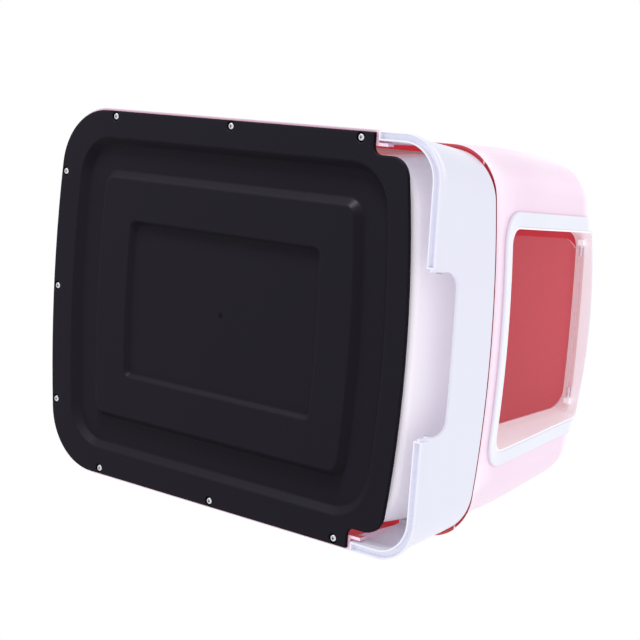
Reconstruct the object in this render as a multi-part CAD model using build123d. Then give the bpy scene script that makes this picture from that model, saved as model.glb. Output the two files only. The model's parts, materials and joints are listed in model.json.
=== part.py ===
from build123d import *
from functools import cache
import math
import os

# Enclosed litter box with a pull-out drawer under a one-piece hood.
# Millimetres. X is the width, the front faces -Y, +Z is up.
# The origin is on the floor, in the middle of the footprint.

# Hood, driving sizes
BODY_REAR = 255.8            # rear wall at the floor, on the centre line
BODY_HALF_WIDTH = 191.5      # side wall at the floor
ROOF_HEIGHT = 371.0          # top of the crowned roof, on the centre line
ROOF_CROWN_RADIUS = 600.0
ROOF_EDGE_RADIUS = 55.0
HOOD_WALL = 2.5
HOOD_FRONT_CORNER = 50.0
HOOD_REAR_CORNER = 65.0
FRONT_BOW_RADIUS = 1290.0    # plan radius of the bowed front faces
REAR_BOW_RADIUS = 1330.0     # plan radius of the bowed rear faces
UPPER_HALF_WIDTH = 182.0     # side wall where the foot flare ends
UPPER_REAR = 243.0           # rear wall where the foot flare ends
SIDE_DRAW_IN = 22.0          # how far the sides curve inward from there to the roof's height
REAR_LEAN = 0.020            # inward lean of the rear, per unit of height
FRONT_LEAN = 0.137           # backward lean of the window wall
FLARE_TOP = 110.0            # height where the foot flare of sides and rear ends
NOSE_HEIGHT = 80.0           # lower edge of the hood over the drawer
NOSE_FRONT = -255.8          # foremost line of the hood, over the drawer
NOSE_FLARE = 17.5            # how far the nose stands out from the window wall
NOSE_FLARE_TOP = 150.0       # height where the nose flare ends
LOFT_BOTTOM = -10.0          # lofts run past the floor and past the roof, and are cut there
LOFT_TOP = 400.0

# Base plate
PLATE_THICKNESS = 3.5
PLATE_INSET = 2.0            # the hood's rim stands out this far round the plate
PLATE_REAR_CORNER = 64.0
PLATE_SHOULDER_Y = -167.5    # where the wide part ends, beside the drawer's wings
PLATE_TONGUE_HALF_WIDTH = 169.8
PLATE_TONGUE_FRONT = -218.0
PLATE_TONGUE_CORNER = 20.0
PLATE_TONGUE_BOW_RADIUS = 1150.0
SHOULDER_FILLET = 8.0
SHOULDER_SEARCH = 0.5        # tolerance for finding the shoulder's corners

# Panels pressed into the base plate, as half width, front and rear
BAND_HALF_WIDTH = 162.5
BAND_FRONT = -195.0
BAND_REAR = 223.6
BAND_CORNER = 44.0
BAND_DEPTH = 7.0
BAND_SLOPE = 7.0
PLATEAU_HALF_WIDTH = 129.0
PLATEAU_FRONT = -162.5
PLATEAU_REAR = 191.0
PLATEAU_CORNER = 17.0
PLATEAU_SLOPE = 7.0
WELL_HALF_WIDTH = 81.0
WELL_FRONT = -116.5
WELL_REAR = 141.5
WELL_CORNER = 8.0
WELL_DEPTH = 4.5
WELL_SLOPE = 4.0
PANEL_LEAST_CORNER = 2.0
GATE_MARK_Y = 10.0
GATE_MARK_RADIUS = 2.6
GATE_MARK_ISLAND = 1.3       # radius of the untouched middle
GATE_MARK_DEPTH = 0.5

# Guide ribs for the drawer, on the base plate
GUIDE_INNER = 171.0
GUIDE_THICKNESS = 3.0
GUIDE_TOP = 14.0
GUIDE_FRONT = -150.0
GUIDE_REAR = 150.0

# Screws under the base plate
SCREW_EDGE_DISTANCE = 5.5
SCREW_SIDE_Y = (-152.4, 7.5, 169.1)
SCREW_REAR_X = (-122.4, 0.0, 122.4)
SCREW_HEAD_RADIUS = 3.5
SCREW_HEAD_HEIGHT = 1.9
SCREW_HEAD_CHAMFER = 0.76
SCREW_SHANK_RADIUS = 1.75
SCREW_LENGTH = 14.0
SCREW_FIT = 0.05
COUNTERBORE_RADIUS = 4.7
COUNTERBORE_DEPTH = 2.0
RECESS_CROSS_LENGTH = 3.6
RECESS_CROSS_WIDTH = 1.1
RECESS_CROSS_DEPTH = 1.1
BOSS_RADIUS = 4.3
BOSS_HEIGHT = 15.0
RIM_FLANGE_WIDTH = 13.5
RIM_FLANGE_THICKNESS = 2.5

# Ends of the hood's side walls, beside the drawer front
WALL_END_Y = -170.2
WALL_END_THICKNESS = 2.5
WALL_END_INNER = 179.0
WALL_TAB_LENGTH = 11.0
WALL_TAB_THICKNESS = 3.0
WALL_TAB_HEIGHT = 8.0
SIDE_EDGE_HEIGHT = 79.7      # hood edge over the drawer's wings
NOSE_STEP_Y = -231.0         # small step in the hood's lower edge at the corner
NOSE_STEP_RISE = 2.0

# Drawer front, a skirt that wraps round both corners
SKIRT_FOOT = 0.6             # running clearance over the floor
SKIRT_TOP = 78.5
SKIRT_WALL = 2.5
SKIRT_FOOT_FRONT = -241.5
SKIRT_FOOT_HALF_WIDTH = 189.3
SKIRT_TOP_HALF_WIDTH = 178.7
SKIRT_FOOT_BOW = 1.0         # how far the front bows out at the foot
SKIRT_FOOT_CORNER = 39.0     # grows to the hood's corner radius at the top
SKIRT_WING_END = -172.4
LIP_FLARE = 2.2              # how far the foot lip stands out
LIP_WIDTH = 8.8
LIP_HEIGHT = 13.0
LIP_FLAT = 3.5
LIP_ROOT = 0.4               # how deep its taper ends inside the skirt's wall
LIP_EDGE_RADIUS = 1.2
LIP_CHANNEL_WALL = 1.6       # walls round the channel in the lip's underside
LIP_CHANNEL_DEPTH = 4.5
SHELF_WIDTH = 9.0
SHELF_THICKNESS = 2.5
HANDLE_HALF_WIDTH = 73.5
HANDLE_HEIGHT = 33.0
HANDLE_CORNER = 15.0
HANDLE_LIP_HALF_WIDTH = 76.0
HANDLE_LIP_CORNER = 4.0

# Drawer tray
TRAY_LIFT = 0.3              # running clearance over the base plate's raised band
TRAY_WALL = 2.5
TRAY_FOOT_HALF_WIDTH = 169.9
TRAY_RIM_HALF_WIDTH = 171.4
TRAY_FOOT_FRONT = -217.2
TRAY_RIM_FRONT = -224.5
TRAY_FOOT_REAR = 228.0
TRAY_RIM_REAR = 235.0
TRAY_FRONT_CORNER = 48.0
TRAY_REAR_CORNER = 55.0
TRAY_FOOT_RADIUS = 8.0
TRAY_BEAD = 1.8              # how far the rim stands out
TRAY_BEAD_HEIGHT = 3.0
DECK_THICKNESS = 2.5         # deck that bridges from the tray's rim to the skirt
DECK_FIT = 0.1
RIM_CUT_PAST = 1.0           # how far the tray's inside is cut past its rim

# Window in the hood, seen from the front
WINDOW_SILL = 140.0
WINDOW_TOP = 346.0
WINDOW_HALF_WIDTH = 109.6    # at the sill
WINDOW_TAPER = 0.0565        # inward lean of the window's sides
WINDOW_TOP_BOW_RADIUS = 1500.0
WINDOW_CORNER = 18.0
BEZEL_WIDTH = 14.2
BEZEL_HEIGHT = 3.2
BEZEL_EDGE_RADIUS = 1.4
BEZEL_EDGE_SEARCH = 0.01     # tolerance for finding the edges of its visible face
SPIGOT_WALL = 2.2
SEAT_FIT = 0.3

# Collar behind the window, which carries the flap
COLLAR_WALL = 1.8
COLLAR_THROAT = -189.0       # where the collar's ceiling starts to rise
COLLAR_REAR = -169.5
COLLAR_NARROWING = 1.5
COLLAR_CEILING_RISE = 15.0
COLLAR_SILL_RISE = 2.0
COLLAR_REAR_CORNER = 22.0
COLLAR_RECESS = 1.0          # how far it ends behind the frame's face
COLLAR_FLANGE_WIDTH = 12.0
COLLAR_FLANGE_THICKNESS = 2.0
COLLAR_FLANGE_GAP = 0.2
FRONT_CUT_Y = -100.0         # how deep cuts from the front reach

# Screws that clamp collar, hood wall and window frame together
CLAMP_SIDE_Z = (185.0, 290.0)
CLAMP_SILL_X = (-62.0, 62.0)
CLAMP_SHANK_RADIUS = 1.3
CLAMP_HEAD_RADIUS = 2.9
CLAMP_HEAD_HEIGHT = 1.8
CLAMP_BITE = 2.6             # how deep the screws reach into the window frame

# Flap door
HINGE_Y = -185.2
HINGE_Z = 341.2
FLAP_THICKNESS = 1.8
FLAP_TOP_GAP = 0.2           # from the hinge axis down to the flap's top edge
FLAP_SILL_GAP = 6.5          # from the window's sill up to the flap's lower edge
FLAP_SIDE_GAP = 10.4         # from the window's sides
FLAP_TOP_CORNER = 38.0
FLAP_BOTTOM_CORNER = 14.0
FLAP_TOP_BOW_RADIUS = 6000.0
KNUCKLE_RADIUS = 2.3
KNUCKLE_INNER = 70.0
KNUCKLE_OUTER = 79.0
KNUCKLE_WEB = 19.0           # how far the knuckle's root reaches down the flap
PIN_RADIUS = 1.5
PIN_FIT = 0.05
EAR_INNER = 81.5
EAR_OUTER = 87.5
EAR_HALF_DEPTH = 3.2
EAR_FOOT = 3.2               # how far the ear reaches below the pin's axis

FAR = 600.0                  # beyond every piece, for cutting blocks


def sagitta(half_width, radius):
    """Height of a bow of the given radius over a half chord."""
    return radius - math.sqrt(radius**2 - half_width**2)


def bowed_outline(half_width, front, rear, front_radius, rear_radius, front_corner, rear_corner):
    """Plan face with bowed front and rear, straight sides and rounded corners."""
    front_end = front + sagitta(half_width, front_radius)
    rear_end = rear - sagitta(half_width, rear_radius)
    outline = make_face(
        [
            ThreePointArc((-half_width, front_end), (0, front), (half_width, front_end)),
            Line((half_width, front_end), (half_width, rear_end)),
            ThreePointArc((half_width, rear_end), (0, rear), (-half_width, rear_end)),
            Line((-half_width, rear_end), (-half_width, front_end)),
        ]
    )
    outline = fillet(outline.vertices().sort_by(Axis.Y)[:2], front_corner)
    return fillet(outline.vertices().sort_by(Axis.Y)[-2:], rear_corner)


def block(x_min, x_max, y_min, y_max, z_min, z_max):
    """Box between two corners."""
    size = (x_max - x_min, y_max - y_min, z_max - z_min)
    middle = ((x_min + x_max) / 2, (y_min + y_max) / 2, (z_min + z_max) / 2)
    return Pos(*middle) * Box(*size)


def cylinder_x(radius, x_min, x_max, y, z):
    """Cylinder along X."""
    middle = Pos((x_min + x_max) / 2, y, z) * Rot(0, 90, 0)
    return middle * Cylinder(radius, x_max - x_min)


def fade(z, top, bottom):
    """1 at the bottom height, easing to 0 at the top height."""
    return max(0.0, (top - z) / (top - bottom)) ** 2


# Hood surfaces


def hood_half_width(z):
    rise = max(0.0, z - FLARE_TOP) / (ROOF_HEIGHT - FLARE_TOP)
    foot = (BODY_HALF_WIDTH - UPPER_HALF_WIDTH) * fade(z, FLARE_TOP, 0.0)
    return UPPER_HALF_WIDTH - SIDE_DRAW_IN * rise**2 + foot


def hood_rear(z):
    straight = UPPER_REAR - REAR_LEAN * (z - FLARE_TOP)
    foot = BODY_REAR - (UPPER_REAR + REAR_LEAN * FLARE_TOP)
    return straight + foot * fade(z, FLARE_TOP, 0.0)


def hood_front(z):
    straight = NOSE_FRONT + NOSE_FLARE + FRONT_LEAN * (z - NOSE_HEIGHT)
    return straight - NOSE_FLARE * fade(z, NOSE_FLARE_TOP, NOSE_HEIGHT)


HOOD_SECTIONS = (
    LOFT_BOTTOM, 50.0, NOSE_HEIGHT, FLARE_TOP, NOSE_FLARE_TOP, 220.0, 290.0, 345.0, LOFT_TOP
)


def hood_section(z, grow):
    """Plan section of the hood at one height, grown outward by grow."""
    outline = bowed_outline(
        hood_half_width(z) + grow,
        hood_front(z) - grow,
        hood_rear(z) + grow,
        FRONT_BOW_RADIUS + grow,
        REAR_BOW_RADIUS + grow,
        HOOD_FRONT_CORNER + grow,
        HOOD_REAR_CORNER + grow,
    )
    return Pos(0, 0, z) * outline


@cache
def hood_block(grow):
    """Solid inside the hood's outer surface, grown outward by grow."""
    walls = loft([hood_section(z, grow) for z in HOOD_SECTIONS])
    top = ROOF_HEIGHT + grow
    edge = top - sagitta(FAR / 2, ROOF_CROWN_RADIUS + grow)
    above = make_face(
        [
            ThreePointArc((-FAR / 2, edge), (0, top), (FAR / 2, edge)),
            Line((FAR / 2, edge), (FAR / 2, FAR)),
            Line((FAR / 2, FAR), (-FAR / 2, FAR)),
            Line((-FAR / 2, FAR), (-FAR / 2, edge)),
        ]
    )
    walls -= extrude(Plane.XZ * above, amount=FAR, both=True)
    roof = walls.faces().sort_by(Axis.Z)[-1]
    return fillet(roof.edges(), ROOF_EDGE_RADIUS + grow)


def hood_layer(outer, inner):
    """Skin between two grown hood surfaces."""
    return hood_block(outer) - hood_block(inner)


# Window outlines, seen from the front


def window_half_width(z):
    return WINDOW_HALF_WIDTH - WINDOW_TAPER * (z - WINDOW_SILL)


def door_outline(grow, sill, top, bow_radius, top_corner, bottom_corner):
    """Face in the XZ plane between two heights, set out from the window's sides by grow."""
    low_half = window_half_width(sill) + grow
    high_half = window_half_width(top) + grow
    shoulder = top - sagitta(high_half, bow_radius)
    outline = make_face(
        [
            Line((-low_half, sill), (low_half, sill)),
            Line((low_half, sill), (high_half, shoulder)),
            ThreePointArc((high_half, shoulder), (0, top), (-high_half, shoulder)),
            Line((-high_half, shoulder), (-low_half, sill)),
        ]
    )
    outline = fillet(outline.vertices().sort_by(Axis.Y)[-2:], top_corner)
    return fillet(outline.vertices().sort_by(Axis.Y)[:2], bottom_corner)


def window_outline(grow):
    """Window face in the XZ plane, grown outward by grow."""
    corner = WINDOW_CORNER + grow
    bow_radius = WINDOW_TOP_BOW_RADIUS + grow
    return door_outline(grow, WINDOW_SILL - grow, WINDOW_TOP + grow, bow_radius, corner, corner)


def through_front(face, y_min=-FAR, y_max=FRONT_CUT_Y):
    """Prism of a front-view face between two depths."""
    return Pos(0, y_max, 0) * extrude(Plane.XZ * face, amount=y_max - y_min)


# Screws


def base_screw_places():
    """Screw centres under the plate, kept a set distance from its edge."""
    side_x = BODY_HALF_WIDTH - PLATE_INSET - SCREW_EDGE_DISTANCE
    places = [(side * side_x, y) for side in (-1, 1) for y in SCREW_SIDE_Y]
    for x in SCREW_REAR_X:
        rear = BODY_REAR - PLATE_INSET - sagitta(abs(x), REAR_BOW_RADIUS)
        places.append((x, rear - SCREW_EDGE_DISTANCE))
    return places


def base_screw():
    """Pan-head screw that points up, with its seat at z = 0."""
    head = Pos(0, 0, -SCREW_HEAD_HEIGHT / 2) * Cylinder(SCREW_HEAD_RADIUS, SCREW_HEAD_HEIGHT)
    head = chamfer(head.edges().sort_by(Axis.Z)[0], SCREW_HEAD_CHAMFER)
    shank = Pos(0, 0, SCREW_LENGTH / 2) * Cylinder(SCREW_SHANK_RADIUS, SCREW_LENGTH)
    cross_z = RECESS_CROSS_DEPTH / 2 - SCREW_HEAD_HEIGHT
    slot = Box(RECESS_CROSS_LENGTH, RECESS_CROSS_WIDTH, RECESS_CROSS_DEPTH)
    cross = Pos(0, 0, cross_z) * (slot + Rot(0, 0, 90) * slot)
    return head + shank - cross


def base_screws():
    screw = base_screw()
    return [Pos(x, y, COUNTERBORE_DEPTH) * screw for x, y in base_screw_places()]


def clamp_screw_places():
    """Centres on the middle of the frame's bars, as (x, z)."""
    reach = BEZEL_WIDTH / 2
    places = [(x, WINDOW_SILL - reach) for x in CLAMP_SILL_X]
    for z in CLAMP_SIDE_Z:
        x = window_half_width(z) + reach
        places += [(-x, z), (x, z)]
    return places


def clamp_screws():
    """Small screws, square to the window wall, with their heads inside."""
    lean = math.degrees(math.atan(FRONT_LEAN))
    inside = HOOD_WALL + COLLAR_FLANGE_GAP + COLLAR_FLANGE_THICKNESS
    grip = inside + CLAMP_BITE
    screws = []
    for x, z in clamp_screw_places():
        wall_y = hood_front(z) + sagitta(abs(x), FRONT_BOW_RADIUS)
        axis = Pos(x, wall_y, z) * Rot(90 - lean, 0, 0)
        shank = Pos(0, 0, grip / 2 - inside) * Cylinder(CLAMP_SHANK_RADIUS, grip)
        head_z = -inside - CLAMP_HEAD_HEIGHT / 2
        head = Pos(0, 0, head_z) * Cylinder(CLAMP_HEAD_RADIUS, CLAMP_HEAD_HEIGHT)
        screws.append(axis * (shank + head))
    return screws


# Pieces


def plate_outline():
    """Wide rear part with bowed rear edge, and a narrower tongue at the front."""
    wide = bowed_outline(
        BODY_HALF_WIDTH - PLATE_INSET,
        -FAR,
        BODY_REAR - PLATE_INSET,
        PLATE_TONGUE_BOW_RADIUS,
        REAR_BOW_RADIUS,
        PLATE_TONGUE_CORNER,
        PLATE_REAR_CORNER,
    )
    tongue = bowed_outline(
        PLATE_TONGUE_HALF_WIDTH,
        PLATE_TONGUE_FRONT,
        0.0,
        PLATE_TONGUE_BOW_RADIUS,
        REAR_BOW_RADIUS,
        PLATE_TONGUE_CORNER,
        PLATE_TONGUE_CORNER,
    )
    rear_part = wide - Pos(0, PLATE_SHOULDER_Y - FAR / 2) * Rectangle(FAR, FAR)
    outline = rear_part + tongue
    inner_corners = [
        v
        for v in outline.vertices()
        if abs(v.Y - PLATE_SHOULDER_Y) < SHOULDER_SEARCH
        and abs(abs(v.X) - PLATE_TONGUE_HALF_WIDTH) < SHOULDER_SEARCH
    ]
    return fillet(inner_corners, SHOULDER_FILLET)


def pressed_panel(half_width, front, rear, corner, slope, z_wide, z_narrow, grow=0.0):
    """Tapered block of a pressed panel, wide at z_wide, drawn in by slope at z_narrow."""
    sections = []
    for z, inset in ((z_wide, 0.0), (z_narrow, slope)):
        outline = bowed_outline(
            half_width + grow - inset,
            front - grow + inset,
            rear + grow - inset,
            PLATE_TONGUE_BOW_RADIUS,
            REAR_BOW_RADIUS,
            max(corner + grow - inset, PANEL_LEAST_CORNER),
            max(corner + grow - inset, PANEL_LEAST_CORNER),
        )
        sections.append(Pos(0, 0, z) * outline)
    return loft(sections, ruled=True)


def base_plate():
    """Moulded plate whose panels step in and out, with holes and guide ribs."""
    skin = PLATE_THICKNESS
    plate = extrude(plate_outline(), skin)
    band = (BAND_HALF_WIDTH, BAND_FRONT, BAND_REAR, BAND_CORNER, BAND_SLOPE)
    plateau = (PLATEAU_HALF_WIDTH, PLATEAU_FRONT, PLATEAU_REAR, PLATEAU_CORNER, PLATEAU_SLOPE)
    well = (WELL_HALF_WIDTH, WELL_FRONT, WELL_REAR, WELL_CORNER, WELL_SLOPE)
    plate += pressed_panel(*band, 0.0, BAND_DEPTH + skin, skin / 2)
    plate -= pressed_panel(*band, 0.0, BAND_DEPTH) - pressed_panel(*plateau, BAND_DEPTH, 0.0)
    plate -= pressed_panel(*plateau, BAND_DEPTH + skin, skin, -skin / 2)
    plate += pressed_panel(*well, skin / 2, WELL_DEPTH + skin, skin / 2)
    plate -= pressed_panel(*well, 0.0, WELL_DEPTH)
    mark = Pos(0, GATE_MARK_Y, WELL_DEPTH) * Cylinder(GATE_MARK_RADIUS, 2 * GATE_MARK_DEPTH)
    mark -= Pos(0, GATE_MARK_Y, WELL_DEPTH) * Cylinder(GATE_MARK_ISLAND, 2 * GATE_MARK_DEPTH)
    plate -= mark
    for side in (-1, 1):
        inner, outer = sorted((side * GUIDE_INNER, side * (GUIDE_INNER + GUIDE_THICKNESS)))
        plate += block(inner, outer, GUIDE_FRONT, GUIDE_REAR, skin / 2, GUIDE_TOP)
    for x, y in base_screw_places():
        plate -= Pos(x, y, 0) * Cylinder(SCREW_SHANK_RADIUS + SCREW_FIT, FAR)
        plate -= Pos(x, y, 0) * Cylinder(COUNTERBORE_RADIUS, 2 * COUNTERBORE_DEPTH)
    return plate


def rim_flange():
    """Flat ring inside the foot of the hood, which the base plate closes."""
    top = PLATE_THICKNESS + RIM_FLANGE_THICKNESS
    slab = block(-FAR, FAR, WALL_END_Y, FAR, PLATE_THICKNESS, top)
    inside = bowed_outline(
        BODY_HALF_WIDTH - RIM_FLANGE_WIDTH,
        -FAR,
        BODY_REAR - RIM_FLANGE_WIDTH,
        FAR,
        REAR_BOW_RADIUS,
        PLATE_TONGUE_CORNER,
        HOOD_REAR_CORNER - RIM_FLANGE_WIDTH,
    )
    return slab - extrude(inside, FAR, both=True)


def wall_ends():
    """Turned-in front ends of the side walls, each with a small tab at its foot."""
    ends = []
    back = WALL_END_Y + WALL_END_THICKNESS
    for side in (-1, 1):
        near, far = sorted((side * WALL_END_INNER, side * BODY_HALF_WIDTH))
        ends.append(block(near, far, WALL_END_Y, back, PLATE_THICKNESS, SIDE_EDGE_HEIGHT))
        tab_inner = side * (WALL_END_INNER - WALL_TAB_THICKNESS / 2)
        tab_outer = side * (WALL_END_INNER + WALL_TAB_THICKNESS / 2)
        near, far = sorted((tab_inner, tab_outer))
        tab_top = PLATE_THICKNESS + WALL_TAB_HEIGHT
        ends.append(block(near, far, WALL_END_Y - WALL_TAB_LENGTH, back, PLATE_THICKNESS, tab_top))
    return ends


def hood_shell():
    """One-piece hood, open below and at the drawer, with the window cut through."""
    outer = hood_block(0.0)
    shell = outer - hood_block(-HOOD_WALL)
    trim = outer & rim_flange()
    for x, y in base_screw_places():
        boss = Pos(x, y, PLATE_THICKNESS + BOSS_HEIGHT / 2) * Cylinder(BOSS_RADIUS, BOSS_HEIGHT)
        trim += outer & boss
    for end in wall_ends():
        trim += outer & end
    shell += trim
    shell -= block(-FAR, FAR, -FAR, FAR, -FAR, PLATE_THICKNESS)
    drawer_space = block(-FAR, FAR, -FAR, WALL_END_Y, -FAR, SIDE_EDGE_HEIGHT)
    tab_keep = block(
        -WALL_END_INNER - WALL_TAB_THICKNESS / 2,
        WALL_END_INNER + WALL_TAB_THICKNESS / 2,
        WALL_END_Y - WALL_TAB_LENGTH,
        WALL_END_Y,
        0.0,
        PLATE_THICKNESS + WALL_TAB_HEIGHT,
    )
    shell -= drawer_space - tab_keep
    shell -= block(-FAR, FAR, -FAR, NOSE_STEP_Y, -FAR, NOSE_HEIGHT + NOSE_STEP_RISE)
    shell -= through_front(window_outline(SPIGOT_WALL + SEAT_FIT))
    for x, y in base_screw_places():
        hole = Cylinder(SCREW_SHANK_RADIUS + SCREW_FIT, SCREW_LENGTH + COUNTERBORE_DEPTH)
        shell -= Pos(x, y, (SCREW_LENGTH + COUNTERBORE_DEPTH) / 2) * hole
    for screw in clamp_screws():
        shell -= screw
    return shell


def window_frame():
    """Raised ring that follows the hood's surface, with a spigot through its wall."""
    ring = through_front(window_outline(BEZEL_WIDTH) - window_outline(0.0))
    spigot = through_front(window_outline(SPIGOT_WALL) - window_outline(0.0))
    bezel = hood_layer(BEZEL_HEIGHT, 0.0) & ring
    surface = hood_block(BEZEL_HEIGHT).shell()
    visible_edges = [
        edge
        for edge in bezel.edges()
        if surface.distance_to(Vertex(edge @ 0.5)) < BEZEL_EDGE_SEARCH
    ]
    bezel = fillet(visible_edges, BEZEL_EDGE_RADIUS)
    frame = bezel + (hood_layer(0.0, -HOOD_WALL) & spigot)
    for screw in clamp_screws():
        frame -= screw
    return frame


def collar_funnel(inset):
    """Tunnel from the window to the collar's rear end, drawn in by inset."""
    grow = -SEAT_FIT - inset
    mouth = window_outline(grow)
    rear = door_outline(
        grow - COLLAR_NARROWING,
        WINDOW_SILL - grow + COLLAR_SILL_RISE,
        WINDOW_TOP + grow + COLLAR_CEILING_RISE,
        WINDOW_TOP_BOW_RADIUS + grow,
        COLLAR_REAR_CORNER - inset,
        COLLAR_REAR_CORNER - inset,
    )
    sleeve = through_front(mouth, NOSE_FRONT, COLLAR_THROAT)
    throat = Pos(0, COLLAR_THROAT, 0) * (Plane.XZ * mouth)
    end = Pos(0, COLLAR_REAR, 0) * (Plane.XZ * rear)
    return sleeve + loft([throat, end], ruled=True)


def door_collar():
    """Tunnel behind the window, with a clamping flange and two hinge ears."""
    inner = collar_funnel(COLLAR_WALL)
    flange_outer = -HOOD_WALL - COLLAR_FLANGE_GAP
    flange = hood_layer(flange_outer, flange_outer - COLLAR_FLANGE_THICKNESS)
    flange &= through_front(window_outline(COLLAR_FLANGE_WIDTH))
    outer = collar_funnel(0.0) & hood_block(BEZEL_HEIGHT - COLLAR_RECESS)
    collar = outer + flange - inner
    for side in (-1, 1):
        near, far = sorted((side * EAR_INNER, side * EAR_OUTER))
        front_y = HINGE_Y - EAR_HALF_DEPTH
        rear_y = HINGE_Y + EAR_HALF_DEPTH
        ear = block(near, far, front_y, rear_y, HINGE_Z - EAR_FOOT, HINGE_Z + FAR)
        collar += ear & outer
    collar -= cylinder_x(PIN_RADIUS, -EAR_OUTER, EAR_OUTER, HINGE_Y, HINGE_Z)
    for screw in clamp_screws():
        collar -= screw
    return collar


def flap_door():
    """Clear flap that hangs from two knuckles at its rounded upper corners."""
    sill = WINDOW_SILL + FLAP_SILL_GAP
    top = HINGE_Z - FLAP_TOP_GAP
    outline = door_outline(
        -FLAP_SIDE_GAP, sill, top, FLAP_TOP_BOW_RADIUS, FLAP_TOP_CORNER, FLAP_BOTTOM_CORNER
    )
    half = FLAP_THICKNESS / 2
    flap = through_front(outline, HINGE_Y - half, HINGE_Y + half)
    for side in (-1, 1):
        near, far = sorted((side * KNUCKLE_INNER, side * KNUCKLE_OUTER))
        flap += cylinder_x(KNUCKLE_RADIUS, near, far, HINGE_Y, HINGE_Z)
        flap += block(near, far, HINGE_Y - half, HINGE_Y + half, top - KNUCKLE_WEB, HINGE_Z)
        flap -= cylinder_x(PIN_RADIUS + PIN_FIT, near, far, HINGE_Y, HINGE_Z)
    return flap


def flap_pin(side):
    near, far = sorted((side * KNUCKLE_INNER, side * EAR_OUTER))
    return cylinder_x(PIN_RADIUS, near, far, HINGE_Y, HINGE_Z)


SKIRT_SECTIONS = (0.0, SKIRT_TOP / 2, NOSE_HEIGHT)


def skirt_section(z, grow):
    """Plan section of the drawer front, which leans out at the top of its front."""
    share = z / SKIRT_TOP
    half = SKIRT_FOOT_HALF_WIDTH + (SKIRT_TOP_HALF_WIDTH - SKIRT_FOOT_HALF_WIDTH) * share
    front = SKIRT_FOOT_FRONT + (NOSE_FRONT - SKIRT_FOOT_FRONT) * share
    top_bow = sagitta(SKIRT_TOP_HALF_WIDTH, FRONT_BOW_RADIUS)
    bow = SKIRT_FOOT_BOW + (top_bow - SKIRT_FOOT_BOW) * share
    bow_radius = (half**2 + bow**2) / (2 * bow)
    corner = SKIRT_FOOT_CORNER + (HOOD_FRONT_CORNER - SKIRT_FOOT_CORNER) * share
    outline = bowed_outline(
        half + grow,
        front - grow,
        0.0,
        bow_radius + grow,
        REAR_BOW_RADIUS,
        corner + grow,
        PLATE_TONGUE_CORNER,
    )
    return Pos(0, 0, z) * outline


@cache
def skirt_body(grow):
    """Tall solid inside the drawer front's surface, before it is cut to height."""
    return loft([skirt_section(z, grow) for z in SKIRT_SECTIONS])


def skirt_block(grow, z_min, z_max):
    """Slice of the drawer front's solid, ahead of the wings' rear ends."""
    return skirt_body(grow) & block(-FAR, FAR, -FAR, SKIRT_WING_END, z_min, z_max)


def skirt_lip():
    """Band round the foot, which stands out and tapers back into the skirt."""
    foot = skirt_section(SKIRT_FOOT, LIP_FLARE)
    flat = skirt_section(LIP_FLAT, LIP_FLARE)
    fade_out = skirt_section(LIP_HEIGHT, -LIP_ROOT)
    lip = loft([foot, flat], ruled=True) + loft([flat, fade_out], ruled=True)
    lip = fillet(lip.faces().sort_by(Axis.Z)[0].edges(), LIP_EDGE_RADIUS)
    lip &= block(-FAR, FAR, -FAR, SKIRT_WING_END, 0.0, LIP_HEIGHT)
    return lip - skirt_block(LIP_FLARE - LIP_WIDTH, 0.0, LIP_HEIGHT)


def lip_channel():
    """Channel in the underside of the foot lip, closed at the wings and at the handle."""
    top = SKIRT_FOOT + LIP_CHANNEL_DEPTH
    outer = skirt_block(LIP_FLARE - LIP_CHANNEL_WALL, 0.0, top)
    channel = outer - skirt_block(LIP_FLARE - LIP_WIDTH + LIP_CHANNEL_WALL, 0.0, top)
    rear = SKIRT_WING_END - LIP_CHANNEL_WALL
    handle_end = HANDLE_LIP_HALF_WIDTH + LIP_CHANNEL_WALL
    channel &= block(-FAR, FAR, -FAR, rear, 0.0, top)
    return channel - block(-handle_end, handle_end, -FAR, rear, 0.0, top)


def handle_cut(half_width, height, corner):
    """Opening in the foot of the drawer front, as a prism along Y."""
    outline = Pos(0, height / 2) * Rectangle(2 * half_width, height)
    outline = fillet(outline.vertices().sort_by(Axis.Y)[-2:], corner)
    return through_front(outline)


def drawer_front():
    """Wrap-round front of the drawer, with a foot lip and a handle opening."""
    skirt = skirt_block(0.0, SKIRT_FOOT, SKIRT_TOP) - skirt_block(-SKIRT_WALL, 0.0, FAR)
    shelf_top = SKIRT_TOP - DECK_THICKNESS
    shelf = skirt_block(-SKIRT_WALL / 2, shelf_top - SHELF_THICKNESS, shelf_top)
    shelf -= skirt_block(-SKIRT_WALL - SHELF_WIDTH, 0.0, FAR)
    shelf -= tray_block(TRAY_BEAD + DECK_FIT, tray_underside(), SKIRT_TOP)
    lip = skirt_lip() - handle_cut(HANDLE_LIP_HALF_WIDTH, LIP_HEIGHT, HANDLE_LIP_CORNER)
    front = (skirt + shelf) - handle_cut(HANDLE_HALF_WIDTH, HANDLE_HEIGHT, HANDLE_CORNER) + lip
    return front - lip_channel()


def tray_block(grow, z_min, z_max):
    """Tapered solid inside the tray's outer walls."""
    sections = []
    rim_z = SKIRT_TOP
    foot_z = tray_underside()
    for z in (z_min, z_max):
        share = (z - foot_z) / (rim_z - foot_z)
        outline = bowed_outline(
            TRAY_FOOT_HALF_WIDTH + (TRAY_RIM_HALF_WIDTH - TRAY_FOOT_HALF_WIDTH) * share + grow,
            TRAY_FOOT_FRONT + (TRAY_RIM_FRONT - TRAY_FOOT_FRONT) * share - grow,
            TRAY_FOOT_REAR + (TRAY_RIM_REAR - TRAY_FOOT_REAR) * share + grow,
            FRONT_BOW_RADIUS + grow,
            REAR_BOW_RADIUS + grow,
            TRAY_FRONT_CORNER + grow,
            TRAY_REAR_CORNER + grow,
        )
        sections.append(Pos(0, 0, z) * outline)
    return loft(sections, ruled=True)


def tray_underside():
    return BAND_DEPTH + PLATE_THICKNESS + TRAY_LIFT


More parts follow.
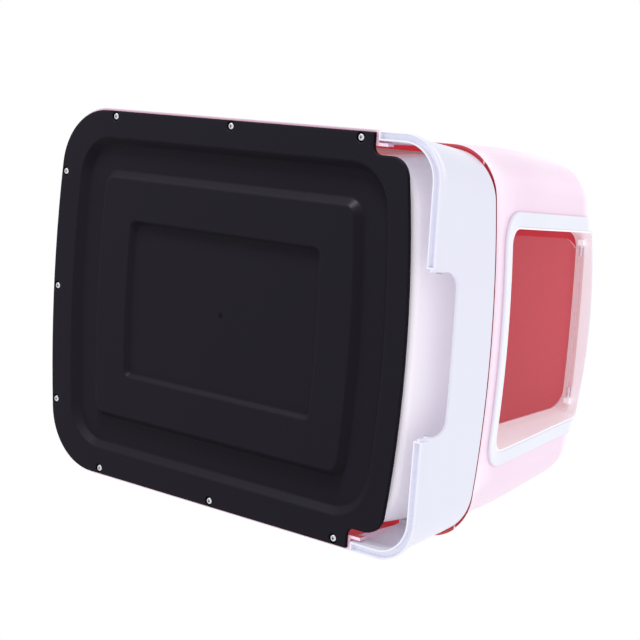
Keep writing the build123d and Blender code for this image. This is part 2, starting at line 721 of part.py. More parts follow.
def drawer_tray():
    """Open tray with rounded foot, rolled rim and a deck that reaches the skirt."""
    foot_z = tray_underside()
    tray = tray_block(0.0, foot_z, SKIRT_TOP)
    tray = fillet(tray.faces().sort_by(Axis.Z)[0].edges(), TRAY_FOOT_RADIUS)
    tray += tray_block(TRAY_BEAD, SKIRT_TOP - TRAY_BEAD_HEIGHT, SKIRT_TOP)
    tray += skirt_block(-SKIRT_WALL - DECK_FIT, SKIRT_TOP - DECK_THICKNESS, SKIRT_TOP)
    inside = tray_block(-TRAY_WALL, foot_z + TRAY_WALL, SKIRT_TOP + RIM_CUT_PAST)
    inside = fillet(inside.faces().sort_by(Axis.Z)[0].edges(), TRAY_FOOT_RADIUS - TRAY_WALL)
    return tray - inside


def export(name, shape):
    export_step(shape, os.path.join("parts", name + ".step"))


def main():
    os.makedirs("parts", exist_ok=True)
    export("base_plate", base_plate())
    export("base_screws", Compound(children=base_screws()))
    export("hood_shell", hood_shell())
    export("window_frame", window_frame())
    export("door_collar", door_collar())
    export("collar_screws", Compound(children=clamp_screws()))
    export("flap_door", flap_door())
    export("flap_pin_left", flap_pin(-1))
    export("flap_pin_right", flap_pin(1))
    export("drawer_tray", drawer_tray())
    export("drawer_front", drawer_front())


main()
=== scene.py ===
"""Looks of an enclosed litter box: moulded plastics, plated screws and a clear flap, in soft light."""

import json
import logging
import math
from dataclasses import dataclass, field
from enum import Enum
from typing import Any, Protocol

import bmesh
import bpy
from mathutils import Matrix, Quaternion, Vector

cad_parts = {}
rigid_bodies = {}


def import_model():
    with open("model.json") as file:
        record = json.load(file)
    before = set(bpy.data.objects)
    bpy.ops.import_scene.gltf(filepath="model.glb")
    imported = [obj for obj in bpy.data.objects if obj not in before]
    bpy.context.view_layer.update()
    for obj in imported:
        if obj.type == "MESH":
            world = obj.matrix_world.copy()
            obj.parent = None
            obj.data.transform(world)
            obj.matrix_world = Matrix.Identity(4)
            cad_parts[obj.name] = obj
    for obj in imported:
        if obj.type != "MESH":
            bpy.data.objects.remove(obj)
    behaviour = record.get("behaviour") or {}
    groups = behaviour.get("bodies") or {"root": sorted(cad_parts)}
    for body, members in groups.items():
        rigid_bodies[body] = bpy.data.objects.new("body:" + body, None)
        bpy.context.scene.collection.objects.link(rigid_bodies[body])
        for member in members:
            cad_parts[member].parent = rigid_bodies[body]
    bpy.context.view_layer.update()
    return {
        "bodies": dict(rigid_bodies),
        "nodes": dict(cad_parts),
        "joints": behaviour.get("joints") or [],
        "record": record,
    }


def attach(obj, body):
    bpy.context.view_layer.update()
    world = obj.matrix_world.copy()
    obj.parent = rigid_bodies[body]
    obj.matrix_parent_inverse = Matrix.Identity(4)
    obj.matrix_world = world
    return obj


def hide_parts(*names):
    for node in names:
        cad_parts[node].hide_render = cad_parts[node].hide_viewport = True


LOG = logging.getLogger("litter_box")
MM = 0.001
WELD_MM = 0.001                   # points of a mesh nearer than this are one
SHARP_DEG = 35.0                  # an edge with a steeper turn than this stays sharp
PLASTIC_IOR = 1.49                # refractive index of the plastics
# NOOK_SIGHT and OPEN_SIGHT: free sight at which the painted shade in narrow places is full, and at
# which it ends.
NOOK_SIGHT = 0.25                 # share of free sight at which a surface has its nook colour
OPEN_SIGHT = 0.9                  # share of free sight at which it has its own colour
SIGHT_SAMPLES = 8                 # rays that measure the free sight
EDGE_SAMPLES = 4                  # rays that round a corner
DRIFT_SPAN = (0.25, 0.75)         # noise values between which a moulding's colour drifts
DRIFT_KEEPS = (0.985, 0.975, 0.985)   # what the darkest patches keep of red, green and blue
VECTOR_TO_MIN, VECTOR_TO_MAX = 9, 10  # Map Range takes its vector limits by number


def linear(hex_colour: str) -> tuple[float, float, float, float]:
    """Turns an sRGB hex colour to the linear values that a shader takes.

    Args:
        hex_colour: six hex digits, with or without a leading hash.

    Returns:
        Linear red, green and blue, and an alpha of 1.
    """
    digits = hex_colour.lstrip("#")
    channels = [int(digits[i:i + 2], 16) / 255 for i in (0, 2, 4)]
    values = [c / 12.92 if c <= 0.04045 else ((c + 0.055) / 1.055) ** 2.4 for c in channels]
    return values[0], values[1], values[2], 1.0


def add_node(
    tree: bpy.types.NodeTree, kind: str, inputs: dict[Any, Any], **settings: Any
) -> bpy.types.Node:
    """Adds one shader node.

    Args:
        tree: the node tree that gets the node.
        kind: the node's type name.
        inputs: a value or an output socket for each input, by name or number.
        settings: properties of the node itself.

    Returns:
        The new node.
    """
    node = tree.nodes.new(kind)
    for name, value in settings.items():
        setattr(node, name, value)
    for key, value in inputs.items():
        if isinstance(value, bpy.types.NodeSocket):
            tree.links.new(value, node.inputs[key])
        else:
            node.inputs[key].default_value = value
    return node


def empty_material(name: str) -> bpy.types.Material:
    """Makes a material with an empty node tree.

    Args:
        name: the material's name.

    Returns:
        The material.
    """
    material = bpy.data.materials.new(name)
    material.use_nodes = True
    material.node_tree.nodes.clear()
    return material


def paint_nook_shade(
    tree: bpy.types.NodeTree, open_colour: bpy.types.NodeSocket, painted_shade_colour: str, reach_mm: float
) -> bpy.types.NodeSocket:
    """Paints shade: blends a colour to a deeper one where a surface stands close to others.

    Args:
        tree: the material's node tree.
        open_colour: the socket that carries the surface's own colour.
        painted_shade_colour: sRGB hex colour of the painted shade in the deepest corners.
        reach_mm: how far away a neighbour still counts.

    Returns:
        The socket that carries the blended colour.
    """
    sight = add_node(
        tree, "ShaderNodeAmbientOcclusion", {"Distance": reach_mm * MM}, samples=SIGHT_SAMPLES
    )
    factor = add_node(
        tree,
        "ShaderNodeMapRange",
        {"Value": sight.outputs["AO"], "From Min": NOOK_SIGHT, "From Max": OPEN_SIGHT},
        interpolation_type="SMOOTHSTEP",
    )
    mix = add_node(
        tree,
        "ShaderNodeMix",
        {"Factor": factor.outputs["Result"], "A": linear(painted_shade_colour), "B": open_colour},
        data_type="RGBA",
    )
    return mix.outputs["Result"]


class Finish(Protocol):
    """A finish that can make its own material."""

    name: str

    def build(self) -> bpy.types.Material:
        """Makes the material."""


class Texture(Enum):
    """How the mould that made a plastic piece was finished."""

    POLISHED = "polished"
    SATIN = "satin"
    SPARK = "spark"


@dataclass(frozen=True)
class MouldGrain:
    """Fine relief and gloss that a mould's surface leaves on a plastic.

    Attributes:
        roughness: mean roughness.
        spread: how far the roughness wanders in broad patches.
        grain_mm: size of the finest relief.
        depth_mm: height of the finest relief.
        edge_mm: radius that the mould's edges leave on every corner.
        patches: broad patches of gloss and colour in a metre.
        strength: how plainly the relief shows.
    """

    roughness: float
    spread: float
    grain_mm: float
    depth_mm: float
    edge_mm: float
    patches: float = 9.0
    strength: float = 0.6


GRAINS = {
    Texture.POLISHED: MouldGrain(
        roughness=0.3, spread=0.05, grain_mm=6.0, depth_mm=0.010, edge_mm=0.5
    ),
    Texture.SATIN: MouldGrain(
        roughness=0.42, spread=0.06, grain_mm=2.2, depth_mm=0.020, edge_mm=0.5
    ),
    Texture.SPARK: MouldGrain(
        roughness=0.4, spread=0.05, grain_mm=1.1, depth_mm=0.035, edge_mm=3.0
    ),
}


@dataclass(frozen=True)
class MouldedPlastic:
    """Injection-moulded polypropylene, ABS or acetal.

    Attributes:
        name: the material's name.
        outside: sRGB hex colour of the outer faces.
        texture: finish of the mould.
        inside: sRGB hex colour painted on the faces that look to the middle: painted shade, deeper
        and redder, for the shade and red light there; None where there is no such side.
        painted_glow: brightness of a painted glow that stands in for light that the thin wall lets in,
        on the inner faces where these have a colour of their own, and else on all faces.
        specular: strength of the surface reflection, where 0.5 is a smooth plastic's.
        painted_shade: sRGB hex colour of the painted shade that the outer faces turn to in narrow
            places.
        inner_painted_shade: the same painted shade for the inner faces.
        reach_mm: how far away a neighbour still brings on the painted shade.
        middle_mm: point that the faces with the painted inner shade look to.
        glow_middle_mm: point that the faces with the painted glow look to.
    """

    name: str
    outside: str
    texture: Texture
    inside: str | None = None
    painted_glow: float = 0.0
    specular: float = 0.5
    painted_shade: str | None = None
    inner_painted_shade: str | None = None
    reach_mm: float = 8.0
    middle_mm: tuple[float, float, float] = (0.0, 0.0, 0.0)
    glow_middle_mm: tuple[float, float, float] = (0.0, 0.0, 0.0)

    def build(self) -> bpy.types.Material:
        """Makes the material.

        Returns:
            The material, with its colour, gloss, fine relief and rounded corners.
        """
        grain = GRAINS[self.texture]
        material = empty_material(self.name)
        tree = material.node_tree
        place = add_node(tree, "ShaderNodeTexCoord", {}).outputs["Object"]
        patch = add_node(
            tree, "ShaderNodeTexNoise", {"Vector": place, "Scale": grain.patches, "Detail": 2.0}
        )
        gloss = add_node(
            tree,
            "ShaderNodeMapRange",
            {
                "Value": patch.outputs["Fac"],
                "To Min": grain.roughness - grain.spread,
                "To Max": grain.roughness + grain.spread,
            },
        )
        relief = add_node(
            tree,
            "ShaderNodeTexNoise",
            {
                "Vector": place,
                "Scale": 1.0 / (grain.grain_mm * MM),
                "Detail": 3.0,
                "Roughness": 0.6,
            },
        )
        edge = add_node(
            tree, "ShaderNodeBevel", {"Radius": grain.edge_mm * MM}, samples=EDGE_SAMPLES
        )
        bump = add_node(
            tree,
            "ShaderNodeBump",
            {
                "Height": relief.outputs["Fac"],
                "Strength": grain.strength,
                "Distance": grain.depth_mm * MM,
                "Normal": edge.outputs["Normal"],
            },
        )
        shader = add_node(
            tree,
            "ShaderNodeBsdfPrincipled",
            {
                "Roughness": gloss.outputs["Result"],
                "IOR": PLASTIC_IOR,
                "Specular IOR Level": self.specular,
                # Emission: a painted glow that stands in for light that the thin wall lets in.
                "Emission Color": linear(self.inside or self.outside),
                "Emission Strength": self.painted_glow,
                "Normal": bump.outputs["Normal"],
            },
        )
        self._colour(tree, shader, patch.outputs["Fac"])
        add_node(tree, "ShaderNodeOutputMaterial", {"Surface": shader.outputs["BSDF"]})
        return material

    def _colour(
        self, tree: bpy.types.NodeTree, shader: bpy.types.Node, patch: bpy.types.NodeSocket
    ) -> None:
        """Lays the outer colour, the painted inner shade and glow, and a moulding's faint unevenness.

        Args:
            tree: the material's node tree.
            shader: the shader that takes the colours.
            patch: broad noise that the unevenness follows.
        """
        outer = self._uneven(tree, self.outside, patch)
        # Painted shade: the outer colour deepens in narrow places.
        if self.painted_shade is not None:
            outer = paint_nook_shade(tree, outer, self.painted_shade, self.reach_mm)
        if self.inside is None:
            tree.links.new(outer, shader.inputs["Base Color"])
            return
        # Painted shade and red light: faces that look to the middle take the deeper inner colour.
        inner = self._uneven(tree, self.inside, patch)
        if self.inner_painted_shade is not None:
            inner = paint_nook_shade(tree, inner, self.inner_painted_shade, self.reach_mm)
        mix = add_node(
            tree,
            "ShaderNodeMix",
            {"Factor": self._looks_to(tree, self.middle_mm), "A": outer, "B": inner},
            data_type="RGBA",
        )
        tree.links.new(mix.outputs["Result"], shader.inputs["Base Color"])
        # Painted glow on the faces that look to the glow point.
        glow = add_node(
            tree,
            "ShaderNodeMix",
            {
                "Factor": self._looks_to(tree, self.glow_middle_mm),
                "A": linear("#000000"),
                "B": linear(self.inside),
            },
            data_type="RGBA",
        )
        tree.links.new(glow.outputs["Result"], shader.inputs["Emission Color"])

    @staticmethod
    def _looks_to(
        tree: bpy.types.NodeTree, middle_mm: tuple[float, float, float]
    ) -> bpy.types.NodeSocket:
        """Marks the faces that look to a point inside the piece.

        Args:
            tree: the material's node tree.
            middle_mm: the point.

        Returns:
            The socket that is 1 on those faces and 0 on the others.
        """
        geometry = add_node(tree, "ShaderNodeNewGeometry", {})
        outward = add_node(
            tree,
            "ShaderNodeVectorMath",
            {0: geometry.outputs["Position"], 1: tuple(value * MM for value in middle_mm)},
            operation="SUBTRACT",
        )
        facing = add_node(
            tree,
            "ShaderNodeVectorMath",
            {0: outward.outputs[0], 1: geometry.outputs["True Normal"]},
            operation="DOT_PRODUCT",
        )
        inner = add_node(
            tree, "ShaderNodeMath", {0: facing.outputs["Value"], 1: 0.0}, operation="LESS_THAN"
        )
        return inner.outputs[0]

    @staticmethod
    def _uneven(
        tree: bpy.types.NodeTree, colour: str, patch: bpy.types.NodeSocket
    ) -> bpy.types.NodeSocket:
        """Gives one colour with a very faint drift in brightness.

        Args:
            tree: the material's node tree.
            colour: sRGB hex colour.
            patch: broad noise that the drift follows.

        Returns:
            The socket that carries the colour.
        """
        base = linear(colour)
        darkest = [channel * keeps for channel, keeps in zip(base, DRIFT_KEEPS)]
        ramp = add_node(tree, "ShaderNodeValToRGB", {"Fac": patch})
        for stop, place, shade in zip(ramp.color_ramp.elements, DRIFT_SPAN, ((*darkest, 1.0), base)):
            stop.position = place
            stop.color = shade
        return ramp.outputs["Color"]


@dataclass(frozen=True)
class ClearSheet:
    """Clear styrene sheet with a slightly milky body and bright cut edges.

    Attributes:
        name: the material's name.
        colour: sRGB hex colour of the haze.
        haze: opacity of each broad face.
        edge: opacity of the narrow edge faces.
        roughness: roughness of every face.
        edge_turn: how squarely a face looks along the thickness, up to which it is an edge.
        broad_turn: the same, from which it is a broad face.
    """

    name: str
    colour: str
    haze: float
    edge: float
    roughness: float = 0.12
    edge_turn: float = 0.6
    broad_turn: float = 0.97

    def build(self) -> bpy.types.Material:
        """Makes the material.

        Returns:
            The material, clear on its broad faces and nearly solid along its edges.
        """
        material = empty_material(self.name)
        tree = material.node_tree
        normal = add_node(tree, "ShaderNodeTexCoord", {}).outputs["Normal"]
        parts = add_node(tree, "ShaderNodeSeparateXYZ", {"Vector": normal})
        flatness = add_node(tree, "ShaderNodeMath", {0: parts.outputs["Y"]}, operation="ABSOLUTE")
        opacity = add_node(
            tree,
            "ShaderNodeMapRange",
            {
                "Value": flatness.outputs[0],
                "From Min": self.edge_turn,
                "From Max": self.broad_turn,
                "To Min": self.edge,
                "To Max": self.haze,
            },
        )
        shader = add_node(
            tree,
            "ShaderNodeBsdfPrincipled",
            {
                "Base Color": linear(self.colour),
                "Roughness": self.roughness,
                "IOR": PLASTIC_IOR,
                "Alpha": opacity.outputs["Result"],
            },
        )
        add_node(tree, "ShaderNodeOutputMaterial", {"Surface": shader.outputs["BSDF"]})
        return material


@dataclass(frozen=True)
class PlatedSteel:
    """Zinc-plated steel of a small screw.

    Attributes:
        name: the material's name.
        colour: sRGB hex colour.
        painted_shade: sRGB hex colour of the painted shade deep in the recess.
        reach_mm: how far away a wall still shades the recess.
        roughness: mean roughness.
        spread: how far the roughness wanders.
        dullest: what the dullest blotches keep of the colour.
        blotches: blotches in a metre.
    """

    name: str
    colour: str
    painted_shade: str
    reach_mm: float
    roughness: float
    spread: float = 0.08
    dullest: float = 0.95
    blotches: float = 900.0

    def build(self) -> bpy.types.Material:
        """Makes the material.

        Returns:
            The material, with a blotchy gloss and painted shade in the recess.
        """
        material = empty_material(self.name)
        tree = material.node_tree
        place = add_node(tree, "ShaderNodeTexCoord", {}).outputs["Object"]
        blotch = add_node(
            tree, "ShaderNodeTexNoise", {"Vector": place, "Scale": self.blotches, "Detail": 3.0}
        )
        gloss = add_node(
            tree,
            "ShaderNodeMapRange",
            {
                "Value": blotch.outputs["Fac"],
                "To Min": self.roughness - self.spread,
                "To Max": self.roughness + self.spread,
            },
        )
        plating = add_node(
            tree,
            "ShaderNodeMapRange",
            {
                "Vector": blotch.outputs["Color"],
                VECTOR_TO_MIN: (self.dullest,) * 3,
                VECTOR_TO_MAX: (1.0,) * 3,
            },
            data_type="FLOAT_VECTOR",
        )
        tint = add_node(
            tree,
            "ShaderNodeMix",
            {"Factor": 1.0, "A": plating.outputs["Vector"], "B": linear(self.colour)},
            data_type="RGBA",
            blend_type="MULTIPLY",
        )
        shader = add_node(
            tree,
            "ShaderNodeBsdfPrincipled",
            {
                # Painted shade in the recess.
                "Base Color": paint_nook_shade(tree, tint.outputs["Result"], self.painted_shade, self.reach_mm),
                "Metallic": 1.0,
                "Roughness": gloss.outputs["Result"],
            },
        )
        add_node(tree, "ShaderNodeOutputMaterial", {"Surface": shader.outputs["BSDF"]})
        return material


# Black polypropylene from a spark-eroded mould: dull, with a fine grain, soft edges and painted shade
# in its grooves.
BLACK_PLATE = MouldedPlastic(
    "black_polypropylene",
    "#17151B",
    Texture.SPARK,
    specular=0.04,
    painted_shade="#020203",
    reach_mm=10.0,
)
# Pale pink polypropylene from a polished mould. Faces that look to the middle are painted coral
# red for shade and red light there, with a painted glow for light that the thin wall lets in;
# narrow places and inner corners get painted shade.
PINK_HOOD = MouldedPlastic(
    "pink_polypropylene",
    "#FFE6F6",
    Texture.POLISHED,
    inside="#E0505C",
    painted_glow=0.135,
    painted_shade="#E79FB4",
    inner_painted_shade="#9A1C24",
    reach_mm=12.0,
    middle_mm=(0.0, 0.0, 60.0),
    glow_middle_mm=(0.0, 0.0, 100.0),
)
# Cool white ABS of the drawer's front: smooth, with a soft gloss and a faint painted glow.
WHITE_FRONT = MouldedPlastic("white_abs_front", "#EAEBF5", Texture.POLISHED, painted_glow=0.04)
# Thinner white ABS of the tray, with a painted glow for light that its thin wall lets in, and dusky
# red painted shade in narrow places, for shade and red light from the hood.
WHITE_TRAY = MouldedPlastic(
    "white_abs_tray", "#F8F2F8", Texture.POLISHED, painted_glow=0.12, painted_shade="#6A2B36"
)
# Brighter white ABS of the window frame.
WHITE_FRAME = MouldedPlastic("white_abs_frame", "#F2F5FC", Texture.POLISHED)
# Near-white ABS of the collar, faintly pink, with a painted glow for light that its thin wall lets in.
PALE_COLLAR = MouldedPlastic("pale_pink_abs_collar", "#F1ECF0", Texture.SATIN, painted_glow=0.24)
# White acetal of the hinge pins: slightly waxy.
WHITE_PIN = MouldedPlastic("white_acetal_pin", "#F5F2F4", Texture.SATIN)
# Clear styrene of the flap: faint haze on its faces, bright along its edges.
CLEAR_FLAP = ClearSheet("clear_styrene_flap", "#F6E6EE", haze=0.04, edge=0.7)
# Zinc plating of the screws: bright, with a slightly blotchy gloss and painted shade in the recess.
SCREW_STEEL = PlatedSteel(
    "zinc_plated_steel", "#D9DBDF", painted_shade="#17191F", reach_mm=1.6, roughness=0.34
)


@dataclass
class Dresser:
    """Gives carried-over nodes and new pieces their finishes, and makes each material once.

    Attributes:
        made: materials made so far, by finish.
    """

    frame: dict[str, Any]
    made: dict[Finish, bpy.types.Material] = field(default_factory=dict)

    def cover(self, piece: bpy.types.Object, finish: Finish) -> None:
        """Gives a piece its finish.

        Args:
            piece: the object to cover.
            finish: what it is made of.
        """
        if finish not in self.made:
            self.made[finish] = finish.build()
        piece.data.materials.clear()
        piece.data.materials.append(self.made[finish])
        LOG.info("dressed %s in %s", piece.name, finish.name)

    def cover_node(self, node: str, finish: Finish) -> None:
        """Gives a carried-over node its finish.

        Args:
            node: the node's name.
            finish: what it is made of.
        """
        self.cover(self.frame["nodes"][node], finish)


def finished(name: str, shape: bmesh.types.BMesh) -> bpy.types.Object:
    """Turns a bmesh to an object at the origin, shaded smooth apart from its sharp edges.

    Args:
        name: the object's name.
        shape: the bmesh, which is freed.

    Returns:
        The object, linked to the scene.
    """
    bmesh.ops.remove_doubles(shape, verts=shape.verts, dist=WELD_MM * MM)
    bmesh.ops.recalc_face_normals(shape, faces=shape.faces)
    mesh = bpy.data.meshes.new(name)
    shape.to_mesh(mesh)
    shape.free()
    mesh.shade_smooth()
    mesh.set_sharp_from_angle(angle=math.radians(SHARP_DEG))
    piece = bpy.data.objects.new(name, mesh)
    bpy.context.scene.collection.objects.link(piece)
    return piece


def islands(mesh: bpy.types.Mesh) -> list[tuple[Vector, Vector]]:
    """Finds the separate solids of a carried-over node.

    Args:
        mesh: the node's mesh, which isn't changed.

    Returns:
        Lowest and highest corner of each solid.
    """
    copy = bmesh.new()
    copy.from_mesh(mesh)
    bmesh.ops.remove_doubles(copy, verts=copy.verts, dist=WELD_MM * MM)
    waiting = set(copy.verts)
    boxes = []
    while waiting:
        reached = [waiting.pop()]
        found = []
        while reached:
            vert = reached.pop()
            found.append(vert.co.copy())
            for edge in vert.link_edges:
                other = edge.other_vert(vert)
                if other in waiting:
                    waiting.remove(other)
                    reached.append(other)
        low = Vector([min(point[axis] for point in found) for axis in range(3)])
        high = Vector([max(point[axis] for point in found) for axis in range(3)])
        boxes.append((low, high))
    copy.free()
    return boxes


@dataclass
class PanHeadScrew:
    """Pan-head screw that points up, with a cross recess in its domed head.

    Attributes:
        head_mm: radius of the head.
        head_height_mm: height of the head.
        dome_mm: height of the rounded part of the head.
        crown_mm: radius of the flat in the middle of the head.
        shank_mm: radius of the shank.
        tip_mm: length of the cone at its point.
        cross_mm: half length of the recess's arms.
        arm_mm: half width of the recess's arms.
        depth_mm: depth of the recess.
        bottom_share: size of the recess's bottom against its mouth.
        dome_steps: faces from the crown to the head's rim.
        steps: faces round the head.
    """

    head_mm: float = 3.45
    head_height_mm: float = 1.85
    dome_mm: float = 1.48
    crown_mm: float = 2.1
    shank_mm: float = 1.7
    tip_mm: float = 2.5
    cross_mm: float = 1.75
    arm_mm: float = 0.5
    depth_mm: float = 1.1
    bottom_share: float = 0.6
    dome_steps: int = 4
    steps: int = 32

    def add_to(self, shape: bmesh.types.BMesh, low: Vector, high: Vector) -> None:
        """Adds one screw in the place of a carried-over one.

        Args:
            shape: the bmesh that gets it.
            low: lowest corner of the carried-over screw.
            high: highest corner of the carried-over screw.
        """
        screw = bmesh.new()
        length = (high.z - low.z) / MM
        head = Vector(((low.x + high.x) / 2, (low.y + high.y) / 2, low.z))
        self._turn(screw, length)
        self._cut_cross(screw)
        bmesh.ops.scale(screw, verts=screw.verts, vec=(MM, MM, MM))
        bmesh.ops.translate(screw, verts=screw.verts, vec=head)
        bmesh.ops.recalc_face_normals(screw, faces=screw.faces)
        scratch = bpy.data.meshes.new("screw")
        screw.to_mesh(scratch)
        screw.free()
        shape.from_mesh(scratch)
        bpy.data.meshes.remove(scratch)

    def _turn(self, screw: bmesh.types.BMesh, length: float) -> None:
        """Turns the screw's profile about its axis, in millimetres, with its head at the bottom.

        Args:
            screw: the bmesh that gets the screw.
            length: the screw's whole length in millimetres.
        """
        dome = [(0.0, 0.0), (self.crown_mm, 0.0)]
        run = self.head_mm - self.crown_mm
        for step in range(1, self.dome_steps + 1):
            turn = math.radians(90 * step / self.dome_steps)
            dome.append((self.crown_mm + run * math.sin(turn), self.dome_mm * (1 - math.cos(turn))))
        under = [
            (self.head_mm, self.head_height_mm),
            (self.shank_mm, self.head_height_mm),
            (self.shank_mm, length - self.tip_mm),
            (0.0, length),
        ]
        verts = [screw.verts.new((radius, 0.0, height)) for radius, height in dome + under]
        edges = [screw.edges.new(pair) for pair in zip(verts, verts[1:])]
        bmesh.ops.spin(
            screw,
            geom=verts + edges,
            cent=(0, 0, 0),
            axis=(0, 0, 1),
            angle=2 * math.pi,
            steps=self.steps,
            use_merge=True,
        )
        bmesh.ops.remove_doubles(screw, verts=screw.verts, dist=WELD_MM)

    def _cut_cross(self, screw: bmesh.types.BMesh) -> None:
        """Sinks the cross into the middle of the head.

        Args:
            screw: the bmesh of the turned screw, in millimetres.
        """
        for across in (Vector((1, 0, 0)), Vector((0, 1, 0))):
            for place in (-self.cross_mm, -self.arm_mm, self.arm_mm, self.cross_mm):
                crown = [face for face in screw.faces if face.calc_center_median().z < WELD_MM]
                geom = set(crown)
                for face in crown:
                    geom.update(face.edges)
                    geom.update(face.verts)
                bmesh.ops.bisect_plane(
                    screw, geom=list(geom), dist=WELD_MM, plane_co=across * place, plane_no=across
                )
        arms = []
        for face in screw.faces:
            middle = face.calc_center_median()
            if middle.z > WELD_MM:
                continue
            long_way = max(abs(middle.x), abs(middle.y))
            short_way = min(abs(middle.x), abs(middle.y))
            if long_way < self.cross_mm and short_way < self.arm_mm:
                arms.append(face)
        sunk = bmesh.ops.extrude_face_region(screw, geom=arms)
        floor = [part for part in sunk["geom"] if isinstance(part, bmesh.types.BMVert)]
        bmesh.ops.delete(screw, geom=arms, context="FACES_ONLY")
        bmesh.ops.translate(screw, verts=floor, vec=(0, 0, self.depth_mm))
        bmesh.ops.scale(screw, verts=floor, vec=(self.bottom_share, self.bottom_share, 1.0))


@dataclass
class BasePlate:
    """Ribbed base plate and the nine screws that hold it to the hood.

    Attributes:
        plate: finish of the plate.
        steel: finish of the screws.
        screw: sizes of one screw.
        screws: the screws' object, once it is built.
    """

    plate: MouldedPlastic = BLACK_PLATE
    steel: PlatedSteel = SCREW_STEEL
    screw: PanHeadScrew = field(default_factory=PanHeadScrew)
    screws: bpy.types.Object | None = None

    def build(self, frame: dict[str, Any]) -> None:
        """Makes the domed screws in the places of the carried-over ones.
        """
        shape = bmesh.new()
        for low, high in islands(frame["nodes"]["base_screws"].data):
            self.screw.add_to(shape, low, high)
        self.screws = finished("pan_head_screws", shape)
        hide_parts("base_screws")
        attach(self.screws, "housing")
        LOG.info("built %s", self.screws.name)

    def dress(self, dresser: Dresser) -> None:
        """Gives the plate and the screws their finishes."""
        dresser.cover_node("base_plate", self.plate)
        dresser.cover(self.screws, self.steel)


@dataclass
class Hood:
    """One-piece hood.

    Attributes:
        shell: finish of the hood.
    """

    shell: MouldedPlastic = PINK_HOOD

    def dress(self, dresser: Dresser) -> None:
        """Gives the hood its finish."""
        dresser.cover_node("hood_shell", self.shell)


@dataclass
class Entrance:
    """Window frame, the collar behind it, its screws and the two hinge pins.

    Attributes:
        window: finish of the frame.
        collar: finish of the collar.
        steel: finish of the collar's screws.
        pin: finish of the hinge pins.
    """

    window: MouldedPlastic = WHITE_FRAME
    collar: MouldedPlastic = PALE_COLLAR
    steel: PlatedSteel = SCREW_STEEL
    pin: MouldedPlastic = WHITE_PIN

    def dress(self, dresser: Dresser) -> None:
        """Gives the entrance's pieces their finishes.

        Args:
            dresser: what covers them.
        """
        dresser.cover_node("window_frame", self.window)
        dresser.cover_node("door_collar", self.collar)
        dresser.cover_node("collar_screws", self.steel)
        for side in ("left", "right"):
            dresser.cover_node(f"flap_pin_{side}", self.pin)


@dataclass
class Flap:
    """Clear swing flap.

    Attributes:
        sheet: finish of the flap.
    """

    sheet: ClearSheet = CLEAR_FLAP

    def dress(self, dresser: Dresser) -> None:
        """Gives the flap its finish."""
        dresser.cover_node("flap_door", self.sheet)


@dataclass
class Drawer:
    """Litter tray and the front that closes it off, as one drawer.

    Attributes:
        front: finish of the front.
        tray: finish of the tray.
    """

    front: MouldedPlastic = WHITE_FRONT
    tray: MouldedPlastic = WHITE_TRAY

    def dress(self, dresser: Dresser) -> None:
        """Gives the drawer's pieces their finishes."""
        dresser.cover_node("drawer_front", self.front)
        dresser.cover_node("drawer_tray", self.tray)


@dataclass(frozen=True)
class SoftBox:
    """Square studio lamp.

    Attributes:
        name: the lamp's name.
        place_mm: where it stands.
        aim_mm: what it points at.
        size_mm: length of its side.
        watts: its power.
        lights_only: the one node that it lights; None where it lights everything.
    """

    name: str
    place_mm: tuple[float, float, float]
    aim_mm: tuple[float, float, float]
    size_mm: float
    watts: float
    lights_only: str | None = None

    def build(self, frame: dict[str, Any]) -> None:
        """Adds the lamp to the scene.
        """
        data = bpy.data.lights.new(self.name, "AREA")
        data.size = self.size_mm * MM
        data.energy = self.watts
        lamp = bpy.data.objects.new(self.name, data)
        bpy.context.scene.collection.objects.link(lamp)
        lamp.location = Vector(self.place_mm) * MM
        sight = Vector(self.aim_mm) * MM - lamp.location
        lamp.rotation_mode = "QUATERNION"
        lamp.rotation_quaternion = sight.to_track_quat("-Z", "Y")
        lamp.visible_camera = False
        if self.lights_only is not None:
            lit = bpy.data.collections.new(f"{self.name}_lights")
            lit.objects.link(frame["nodes"][self.lights_only])
            lamp.light_linking.receiver_collection = lit


